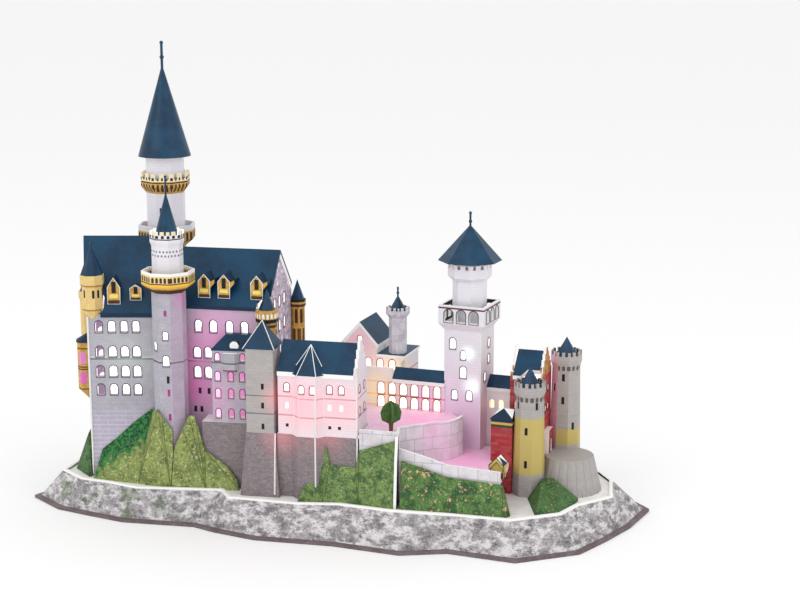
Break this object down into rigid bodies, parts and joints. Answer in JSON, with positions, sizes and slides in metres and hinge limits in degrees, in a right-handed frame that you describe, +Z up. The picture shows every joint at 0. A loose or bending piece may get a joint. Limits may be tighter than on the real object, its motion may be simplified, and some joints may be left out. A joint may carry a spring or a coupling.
{
  "type": "card castle model with lights",
  "caption": "Castle model folded and slotted from printed foam card on a rocky base, with towers, palace, courts, gatehouse and small lamps inside.",
  "frame": {"origin": "middle of the base board's underside", "axes": "+X along the base towards the gatehouse, the palace front faces -Y, +Z up"},
  "size_m": [0.455, 0.26, 0.3345],
  "materials": {
    "base_board": "printed foam card, dark grey-brown",
    "inner_card": "raw white foam card",
    "rock_card": "matte print of speckled grey rock, white foam edges",
    "grass_card": "matte print of grass and bushes, white foam edges",
    "palace_card": "matte print of pale lilac masonry, lit from inside",
    "stone_card": "matte print of brown-grey rubble",
    "bower_card": "matte print of pale masonry, lit pink",
    "roof_card": "satin print of dark teal slates",
    "tower_card": "satin print of near-white masonry",
    "ochre_card": "matte print of ochre and dark brown stonework",
    "court_card": "matte print of pale paving and walls, lit pink",
    "gate_card": "matte print of red masonry with yellow quoins",
    "gate_stone_card": "matte print of grey masonry over yellow-green stonework",
    "lamp_plastic": "glossy, clear",
    "box_plastic": "satin black"
  },
  "bodies": {
    "root": {"annex_base": "stone_card", "annex_roof": "roof_card", "annex_walls": "bower_card", "base_ribs": "inner_card", "battery_box": "box_plastic", "bower_base": "stone_card", "bower_bay_roof": "roof_card", "bower_hill": "grass_card", "bower_roof": "roof_card", "bower_tower_base": "stone_card", "bower_tower_roof": "roof_card", "bower_tower_walls": "bower_card", "bower_walls": "bower_card", "corner_turrets": "ochre_card", "court_floors": "court_card", "court_slope": "grass_card", "court_trees": "grass_card", "court_walls": "court_card", "deck_board": "inner_card", "gallery_roofs": "roof_card", "gallery_walls": "bower_card", "gate_annex": "gate_card", "gate_hill": "grass_card", "gate_towers": "gate_stone_card", "gatehouse_roof": "roof_card", "gatehouse_walls": "gate_card", "hall_roof": "roof_card", "hall_turret": "tower_card", "hall_walls": "bower_card", "led_lamps": "lamp_plastic", "main_tower_galleries": "ochre_card", "main_tower_shaft": "tower_card", "main_tower_spire": "roof_card", "north_slope": "grass_card", "palace_dormers": "ochre_card", "palace_gables": "palace_card", "palace_hills": "grass_card", "palace_north_wall": "palace_card", "palace_roof_east": "roof_card", "palace_roof_west": "roof_card", "palace_south_wall_east": "palace_card", "palace_south_wall_west": "palace_card", "plinth_board": "base_board", "ridge_rib": "grass_card", "rock_skirt_east": "rock_card", "rock_skirts_north": "rock_card", "rock_skirts_south": "rock_card", "round_bastion": "gate_stone_card", "square_tower_drum": "tower_card", "square_tower_gallery": "tower_card", "square_tower_roof": "roof_card", "square_tower_shaft": "tower_card", "stair_turret_balcony": "ochre_card", "stair_turret_drum": "tower_card", "stair_turret_shaft": "palace_card", "stair_turret_spire": "roof_card", "turret_roofs": "roof_card", "west_bay": "ochre_card", "west_slope": "grass_card"}
  },
  "joints": []
}
